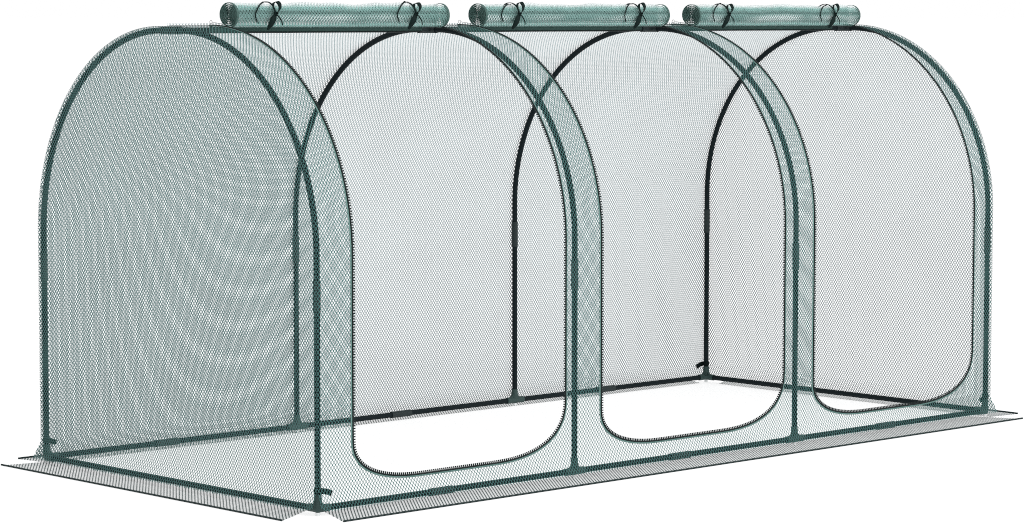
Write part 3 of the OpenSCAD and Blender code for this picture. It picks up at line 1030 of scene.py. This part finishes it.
class CAGE_OT_lay_skirts(bpy.types.Operator):
    """Skirts on the ground, with corded hems"""

    bl_idname = "cage.lay_skirts"
    bl_label = "Skirts"

    def execute(self, context):
        sizes, colours = chosen(context)
        yarn = knitted("skirt yarn", shade(colours.net, 0.35))
        hem = knitted("hem cloth", colours.hem, 0.6)
        for name in ("front", "back", "left", "right"):
            self.skirt(name, sizes, yarn, hem)
        return {"FINISHED"}

    def skirt(self, name, sizes, yarn, hem):
        cloth = Skirt(name)
        full, notched, cut = (cloth.run + end * MM for end in SKIRT_ENDS[name])
        length = cloth.profile.length
        ring = [(cloth.tuck - cloth.run, 0), (-full, length), (notched, length), (cut, 0)]
        lattice = Lattice(sizes)
        lattice = lattice.changed(width=SKIRT_THREAD, knot=(lattice.knot[0], SKIRT_KNOT))
        if not cloth.along_x:
            ring.insert(1, (-cloth.run - FLARE_OUT, cloth.tuck))
            lattice = lattice.changed(pitch=lattice.rise, rise=lattice.pitch)
        piece = net(f"{name}_skirt_cloth", cloth, ring, lattice, yarn, [f"{name}_skirt"])
        u = np.linspace(-full, notched, HEM_STEPS)
        path, _ = cloth.place(u, 0 * u + length - HEM_INSET, sizes.hem_radius - FOOT_Z / 2)
        cord = show(f"{name}_hem", corded(f"{name}_hem", path, sizes.hem_radius, 8, hem))
        declare(ring, lattice)


class CAGE_OT_sew_seams(bpy.types.Operator):
    """Stitching along the ridge seam and round the end hoops"""

    bl_idname = "cage.sew_seams"
    bl_label = "Seams"
    share = 0.75              # length of a stitch, against the pitch
    width = 1.1 * MM
    height = 0.9 * MM
    lift = 0.7 * MM           # middle of a stitch above the cloth
    inset = 0.6 * MM          # of the seam round an end, from the cover's outer face
    ridge_lift = 1.5 * MM     # of the ridge seam above the cover's outer face

    def execute(self, context):
        sizes, colours = chosen(context)
        pitch = sizes.stitch_pitch
        x = np.arange(-HALF_L, HALF_L, pitch)
        ridge = np.stack([x, 0 * x - self.lift, 0 * x + RIDGE_Z + NET_OUT + self.ridge_lift], 1)
        self.sew("left_seam", *self.round_end(-1, pitch), sizes, colours)
        self.sew("right_seam", *self.round_end(1, pitch), sizes, colours)
        self.sew("ridge_seam", ridge, (1, 0, 0), (0, -1, 0), sizes, colours)
        return {"FINISHED"}

    def sew(self, name, centre, run, face, sizes, colours):
        yarn = knitted("seam yarn", shade(colours.net, 0.45), 0.5)
        size = (self.share * sizes.stitch_pitch, self.width, self.height)
        show(name, repeated(name, "stitch", centre, run, face, size, yarn))

    def round_end(self, side, pitch):
        """Centres, run directions and face directions of the stitches up both halves of an end."""
        outline = Profile(cover_profile(NET_OUT - self.inset))
        wall = EndWall(side)
        y, z, _, _ = outline.place(np.arange(pitch, outline.length, pitch), 0.0)
        y, z = y[z >= FLARE_TOP], z[z >= FLARE_TOP]
        halves = []
        for half in (-1, 1):
            centre, face = wall.place(half * y, wall.height(z), self.lift)
            halves.append((centre, unit(np.gradient(centre, axis=0)), face))
        return [np.concatenate(parts) for parts in zip(*halves)]


class CAGE_OT_fit_zips(bpy.types.Operator):
    """Zips round the doorways: tape, corded edge, coarse teeth and end loops"""

    bl_idname = "cage.fit_zips"
    bl_label = "Zips"
    chain_out = 0.6 * MM      # of the cord, from the doorway's edge
    chain_lift = 1.5 * MM     # of the cord above the cover
    cord_r = 2.3 * MM
    cord_step = 8 * MM
    tooth_reach = 3.6 * MM    # from the cord to the middle of a tooth
    tooth = (2.2 * tooth_reach, 3.3 * MM, 2 * MM)
    wire_r = 0.6 * MM

    def execute(self, context):
        sizes, colours = chosen(context)
        tape = woven("zip tape", colours.tape, 900)
        teeth = knitted("zip teeth", colours.teeth, 0.35)
        cover = Cover(-1)
        for door in DOORS:
            self.tape(cover, door, tape)
            self.chain(cover, door, sizes.tooth_pitch, teeth)
        return {"FINISHED"}

    def edge(self, cover, door, grow):
        """A doorway's grown edge whose long upright sides have many points, for the bend."""
        path = np.asarray(doorway_path(cover, door, grow, ZIP_STEPS))
        left = np.linspace(path[0], path[1], SIDE_STEPS)[:-1]
        right = np.linspace(path[-2], path[-1], SIDE_STEPS)[1:]
        return np.concatenate([left, path[1:-1], right])

    def tape(self, cover, door, material):
        flat = paired(self.edge(cover, door, 0.0), self.edge(cover, door, ZIP_W))
        points, _ = cover.place(*flat.T, NET_OUT + FIT_GAP - SHEET + ZIP_T / 2)
        name = f"zip_tape_{door}"
        mesh = thickened(mesh_of(name, points, strip_faces(len(flat) // 2)), ZIP_T)
        show(name, wearing(mesh, material), [f"door_zip_{door}"])

    def chain(self, cover, door, pitch, material):
        """The corded edge, its teeth and the wire loop at the top of its left side."""
        path = Profile(self.edge(cover, door, self.chain_out))
        lift = NET_OUT + self.chain_lift - SHEET

        def on_edge(s, inward=0.0, rise=0.0):
            """Points along the edge, and the cloth's normals there."""
            u, v, _, _ = path.place(s, -inward)
            return cover.place(u, v, lift + rise)

        line, _ = on_edge(np.arange(0, path.length, self.cord_step))
        cord = corded("cord", line, self.cord_r, 7, material)
        s = np.arange(pitch, path.length, pitch)
        root, face = on_edge(s)
        tip, _ = on_edge(s, self.tooth_reach)
        teeth = repeated("teeth", "tooth", tip, unit(tip - root), face, self.tooth, material)
        wire, _ = on_edge(*self.wire_route())
        wire = corded("wire", wire, self.wire_r, 5, material)
        name = f"zip_chain_{door}"
        show(name, merged(name, [cord, teeth, wire]))

    def wire_route(self):
        """Places along the edge, and heights, of an eye and the tail that runs down beside the teeth."""
        turn = np.linspace(0, 2 * math.pi, 13)
        eye = 6 * MM + 5 * MM * np.cos(turn)
        eye_rise = 9 * MM + 4.5 * MM * np.sin(turn)
        tail = np.linspace(16, 75, 8) * MM
        tail_rise = np.linspace(8, 4, 8) * MM
        return np.concatenate([eye, tail]), 0.0, np.concatenate([eye_rise, tail_rise])


class RolledDoor:
    """A door folded double and rolled up: u runs along the roll, v along the cloth, out and back."""

    bake_axes = (0, 2)
    flatness = 1.15           # width of the roll against its height
    core = 4.5 * MM           # radius of the innermost turn
    skin = 0.6 * MM           # how far the outermost turn starts past the roll's radius
    rolled = 1.5 * MM         # how far past it the cloth still counts as rolled up
    fold_gap = 0.9 * MM       # between the two layers
    flap_lift = 1.2 * MM      # of the flap above the cover
    # The hem, tucked under the ridge seam: out from the doorway's top edge, and up from the ridge axis
    lap = ((-4 * MM, -5 * MM), (-MM, 9 * MM))
    waist_depth = 2 * MM      # of the cloth under a ribbon
    waist_reach = 16 * MM
    wave_share = 0.55         # of each wave, so that together they reach about their height
    wave_fade = 50 * MM       # length over which the waves die out towards an end
    round_steps = 22          # points in a turn of the roll

    def __init__(self, door, sizes):
        self.left, self.right = DOOR_X[door][0] + FIT_GAP, DOOR_X[door][1] - FIT_GAP
        self.door = door
        self.waves = sizes.roll_waves
        line = self.spiral(sizes.roll_turns)
        outward = Profile(line)
        lifted = line - outward.normal * self.fold_gap
        self.profile = Profile(np.concatenate([line, lifted[::-1]]))
        self.fold_v = outward.length
        self.breaks = self.profile.at[1:-1]

    def spiral(self, turns):
        """Cross-section out along the flap, round the roll and in to its core."""
        radius = BEND_R + NET_OUT + self.flap_lift
        start = math.acos(min(1.0, (DOOR_TOP - CROWN_FLAT) / radius))
        stop = math.atan2(ROLL_Z - BEND_Z, -ROLL_Y - CROWN_FLAT)
        flap = [
            (CROWN_FLAT + radius * math.cos(a), BEND_Z + radius * math.sin(a))
            for a in np.linspace(start, stop, 5)[:-1]
        ]
        lap = [(DOOR_TOP + out, RIDGE_Z + up) for out, up in self.lap]
        turn = np.linspace(0, 2 * math.pi * turns, round(self.round_steps * turns))
        away = ROLL_R + self.skin - (ROLL_R - self.core) * turn / turn[-1]
        out, up = self.flatness * away * np.sin(turn), away * np.cos(turn)
        return np.concatenate([lap, flap, np.stack([-ROLL_Y + out, ROLL_Z - up], 1)])

    def place(self, u, v, lift=0.0):
        y, z, ny, nz = self.profile.place(v, lift)
        return self.crease(np.stack([u, -y, z], -1)), np.stack([0 * u, -ny, nz], -1)

    def crease(self, points):
        """Long waves of the rolled cloth, none where it lies on the ridge, and a waist under each ribbon."""
        y, z = points[:, 1] - ROLL_Y, points[:, 2] - ROLL_Z
        away, turn = np.hypot(y / self.flatness, z), np.arctan2(y, -z)
        x = points[:, 0] - self.left
        # Each wave's share, its length in metres, its shift from door to door and its wind round the roll
        waves = (
            (1.0, 0.29, 1.7, 1.3 * np.sin(turn)),
            (0.6, 0.127, 2.1, 2.0 * turn),
            (0.3, 0.061, 1.0, -3.0 * turn),
        )
        wave = sum(
            share * np.sin(2 * math.pi * x / long + shift * self.door + wind)
            for share, long, shift, wind in waves
        )
        length = self.right - self.left
        ties = (TIE_INSET, length - TIE_INSET)
        waist = sum(np.exp(-(((x - at) / self.waist_reach) ** 2)) for at in ties)
        fade = np.clip(np.minimum(x, length - x) / self.wave_fade, 0, 1)
        swell = self.wave_share * self.waves * wave * fade - self.waist_depth * waist
        change = swell / ROLL_R * (1 - np.cos(turn)) / 2
        grow = np.where(away < ROLL_R + self.rolled, 1 + change, 1.0)
        return np.stack([points[:, 0], ROLL_Y + y * grow, ROLL_Z + z * grow], 1)


class CAGE_OT_roll_doors(bpy.types.Operator):
    """The net doors, folded double and rolled up under the ridge, with the zip tape along their edges"""

    bl_idname = "cage.roll_doors"
    bl_label = "Rolled Doors"
    tape_t = 1.1 * MM
    tape_lift = 0.3 * MM      # of the middle of the tape, and of the hem, off the cloth's own line
    hem_lift = 0.4 * MM
    cord_r = 1.9 * MM

    def execute(self, context):
        sizes, colours = chosen(context)
        lattice = Lattice(sizes, sizes.door_fineness)
        # The doors' yarn is painted light, for the light through the rolled layers
        yarn = rolled_yarn(colours.door_net)
        tape = woven("door edge tape", colours.edge_tape, 900)
        hem = woven("door hem", shade(colours.edge_tape, 0.72), 900)
        cord = knitted("zip teeth", colours.teeth, 0.35)
        for door in DOORS:
            cloth = RolledDoor(door, sizes)
            edge = self.edges(cloth, tape, hem, cord)
            length = cloth.profile.length
            ring = [(cloth.left, 0), (cloth.right, 0), (cloth.right, length), (cloth.left, length)]
            piece = net(f"door_{door}_cloth", cloth, ring, lattice, yarn, [f"door_roll_{door}"])
            declare(ring, lattice)
        return {"FINISHED"}

    def edges(self, cloth, tape, hem, cord):
        """The tape that edges a door's two sides, rolled up with it, and its corded hem along the ridge."""
        v = np.concatenate([[0.0], cloth.breaks[cloth.breaks < cloth.fold_v - MM], [cloth.fold_v]])
        strips = []
        for start, stop in ((cloth.left, cloth.left + ZIP_W), (cloth.right - ZIP_W, cloth.right)):
            flat = paired(np.stack([0 * v + start, v], 1), np.stack([0 * v + stop, v], 1))
            points, _ = cloth.place(*flat.T, self.tape_lift)
            strips.append((points, strip_faces(len(v))))
        u = np.array([cloth.left, cloth.right, cloth.right, cloth.left])
        band, _ = cloth.place(u, np.repeat([0, cloth.breaks[0]], 2), self.hem_lift)
        name = f"door_{cloth.door}_edges"
        meshes = [
            wearing(thickened(mesh_of(name, points, faces), self.tape_t), material)
            for points, faces, material in ((*joined(strips), tape), (band, [(0, 1, 2, 3)], hem))
        ]
        meshes.append(corded("cord", band[:2], self.cord_r, 7, cord))
        return show(name, merged(name, meshes))


def ribbon(name, path, widths, across, material, thickness=0.7 * MM):
    """A strip along a path; across gives the direction of its width, for the whole path or at each point."""
    path, half = np.asarray(path, float), np.broadcast_to(widths, len(path))[:, None] / 2
    side = half * np.broadcast_to(unit(across), path.shape)
    strip = mesh_of(name, paired(path - side, path + side), strip_faces(len(path)))
    return wearing(thickened(strip, thickness), material)


def smooth_path(points, count):
    """A smooth curve through a few points, as count points."""
    points = np.asarray(points, float)
    at = np.linspace(0, len(points) - 1, count)
    padded = np.concatenate([2 * points[:1] - points[1:2], points, 2 * points[-1:] - points[-2:-1]])
    k = np.minimum(at.astype(int), len(points) - 2)
    t = (at - k)[:, None]
    p0, p1, p2, p3 = (padded[k + j] for j in (0, 1, 2, 3))
    return 0.5 * (2 * p1 + (p2 - p0) * t + (2 * p0 - 5 * p1 + 4 * p2 - p3) * t**2
                  + (3 * p1 - p0 - 3 * p2 + p3) * t**3)


class Bow:
    """A ribbon tied round a roll: ring, one loop, a folded end, a thin tail, a slack end and a knot.

    Points of the bow are in mm from its knot: a along the roll, b up its face and c out of it.
    """

    ring_r = ROLL_R + 0.9 * MM
    knot_turn = 1.5           # of the knot round the roll, from its top
    # The slack end: mm along the roll from the bow, and degrees round it from its top
    slack_route = ((0, 8), (-25, 26), (-54, 56), (-70, 90), (-58, 123))

    def __init__(self, x, seed, cloth, material):
        self.x = x
        self.cloth = cloth
        self.material = material
        self.reach = 1.0 + 0.05 * math.sin(2.3 * seed)    # how far it spreads, against the others
        self.side = np.array([1.0, 0, 0])
        self.up = np.array([0, math.cos(self.knot_turn), math.sin(self.knot_turn)])
        self.out = np.array([0, -math.sin(self.knot_turn), math.cos(self.knot_turn)])
        self.knot = self.round_roll(self.knot_turn)

    def round_roll(self, turn):
        """Points of the ring at turns round the roll from its top."""
        y = ROLL_Y - self.cloth.flatness * self.ring_r * np.sin(turn)
        return np.stack([0 * turn + self.x, y, ROLL_Z + self.ring_r * np.cos(turn)], -1)

    def at(self, a, b, c):
        return self.knot + self.side * a * MM + self.up * b * MM + self.out * c * MM

    def strip(self, name, path, widths, across, *thickness):
        return ribbon(name, path, widths, across, self.material, *thickness)

    def curve(self, points, count):
        return smooth_path([self.at(*point) for point in points], count)

    def ribbons(self):
        return [
            self.ring(), self.loop(), self.fold(), self.tail(), self.slack(),
            self.wrap(0.0, 0.0), self.wrap(1.2, 0.9),
        ]

    def ring(self):
        """The turn round the roll, pulled together where it runs into the knot."""
        turn = np.linspace(-0.75 * math.pi, 0.9 * math.pi, 40)
        widths = np.where(np.abs(turn - 1.3) < 0.5, 5 * MM, TIE_W * 0.62)
        return self.strip("ring", self.round_roll(turn), widths, self.side, 1.6 * MM)

    def loop(self):
        k = self.reach
        path = self.curve([(1, 1, 3), (10, 10, 5), (12, 22 * k, 6), (4, 32 * k, 5), (-8, 28 * k, 4),
                           (-7, 15, 3), (0, 1, 3)], 30)
        widths = 3.2 * MM + 10.5 * MM * np.sin(np.linspace(0.2, math.pi, 30)) ** 2
        return self.strip("loop", path, widths, self.side + 0.25 * self.up)

    def fold(self):
        k = self.reach
        path = self.curve([(0, 0, 3), (-8, -9, 4), (-14, -21 * k, 3), (-19, -32 * k, -2), (-23, -42, -8)], 20)
        widths = 16 * MM * np.sin(np.linspace(0.35, math.pi - 0.2, 20)) + 2 * MM
        return self.strip("fold", path, widths, self.side - 0.4 * self.up)

    def tail(self):
        path = self.curve([(0, 0, 3), (8, -9, 5), (17, -20 * self.reach, 4), (23, -30, -1)], 16)
        return self.strip("tail", path, 3.6 * MM, self.side + 0.6 * self.up)

    def slack(self):
        """The slack end that lies on the roll."""
        along, turn = smooth_path(self.slack_route, 30).T
        turn = np.radians(turn)
        away = np.stack([0 * turn, -self.cloth.flatness * np.sin(turn), np.cos(turn)], 1)
        path = (self.x, ROLL_Y, ROLL_Z) + np.outer(along, (MM, 0, 0)) + (ROLL_R + MM) * away
        path = self.cloth.crease(path) + 1.2 * MM * away
        across = np.cross(np.gradient(path, axis=0), away)
        return self.strip("slack", path, np.linspace(4.5, 3.2, 30) * MM, across)

    def wrap(self, tip, spin):
        """One turn of the ribbon round the knot."""
        path = [
            self.at(4.2 * math.cos(a + spin), 4.6 * math.sin(a + spin), 2.6 + 1.6 * math.sin(2 * a + tip))
            for a in np.linspace(0, 2 * math.pi, 17)
        ]
        return self.strip("wrap", path, 5.2 * MM, self.out + 0.25 * self.side)


class CAGE_OT_tie_ribbons(bpy.types.Operator):
    """Ribbons tied round the rolled doors"""

    bl_idname = "cage.tie_ribbons"
    bl_label = "Ribbons"

    def execute(self, context):
        sizes, colours = chosen(context)
        weave = woven("ribbon weave", colours.ribbon, 1200, 0.5)
        meshes = []
        for door in DOORS:
            cloth = RolledDoor(door, sizes)
            for end, x in ((-1, DOOR_X[door][0] + TIE_INSET), (1, DOOR_X[door][1] - TIE_INSET)):
                meshes += Bow(x, door + end, cloth, weave).ribbons()
        show("roll_ribbons", merged("roll_ribbons", meshes), ["roll_ties"])
        return {"FINISHED"}


class CAGE_OT_fasten_straps(bpy.types.Operator):
    """Short webbing straps round the corner legs"""

    bl_idname = "cage.fasten_straps"
    bl_label = "Corner Straps"
    width = 15 * MM
    reach = TUBE_R + 1.2 * MM
    # The tongue in mm from the leg: towards the middle of the cage, off its side, and down
    tongue = ((0, 0, 0), (13, 0.4, 1.5), (26, 0.9, 5), (38, -0.6, 10))

    def execute(self, context):
        _, colours = chosen(context)
        webbing = woven("webbing", colours.webbing, 800, 0.7)
        meshes = [
            mesh for end in (-1, 1) for side in (-1, 1) for mesh in self.strap(end, side, webbing)
        ]
        show("corner_webbing", merged("corner_webbing", meshes), ["corner_straps"])
        return {"FINISHED"}

    def strap(self, end, side, webbing):
        """A loop round a leg and the tongue that hangs from it."""
        centre = np.array([end * HALF_L, side * HALF_W, STRAP_Z])
        turn = np.linspace(-0.5 * math.pi, 1.5 * math.pi, 33)
        loop = np.stack([-end * self.reach * np.cos(turn), side * self.reach * np.sin(turn), 0 * turn], 1)
        start = centre + (0, side * self.reach, 0)
        points = [start + (-end * a * MM, b * MM * side, -c * MM) for a, b, c in self.tongue]
        lean = np.stack([np.linspace(0, -end * 0.5, 16), np.zeros(16), np.ones(16)], 1)
        return [
            ribbon("loop", centre + loop, self.width, (0.0, 0.0, 1.0), webbing, 1.3 * MM),
            ribbon("tongue", smooth_path(points, 16), self.width, lean, webbing, 1.5 * MM),
        ]


OPERATORS = (
    CAGE_OT_stage, CAGE_OT_paint_frame, CAGE_OT_tie_ribbons, CAGE_OT_hang_nets, CAGE_OT_lay_skirts,
    CAGE_OT_sew_seams, CAGE_OT_fit_zips, CAGE_OT_roll_doors, CAGE_OT_fasten_straps,
)


class CAGE_PT_panel(bpy.types.Panel):
    """Lists the pieces of the crop cage, with their sizes and colours"""

    bl_idname = "CAGE_PT_panel"
    bl_label = "Crop Cage"
    bl_space_type = "VIEW_3D"
    bl_region_type = "UI"
    bl_category = "Crop Cage"

    def draw(self, context):
        for operator in OPERATORS:
            self.layout.operator(operator.bl_idname)
        for group in chosen(context):
            box = self.layout.box()
            for name in group.__annotations__:
                box.prop(group, name)


CLASSES = (CageSizes, CageColours, *OPERATORS, CAGE_PT_panel)


def register():
    for kind in CLASSES:
        bpy.utils.register_class(kind)
    bpy.types.Scene.cage_sizes = PointerProperty(type=CageSizes)
    bpy.types.Scene.cage_colours = PointerProperty(type=CageColours)


def unregister():
    del bpy.types.Scene.cage_colours
    del bpy.types.Scene.cage_sizes
    for kind in reversed(CLASSES):
        bpy.utils.unregister_class(kind)


def main():
    register()
    for operator in OPERATORS:
        getattr(bpy.ops.cage, operator.bl_idname.split(".")[1])()


if __name__ == "__main__":
    main()
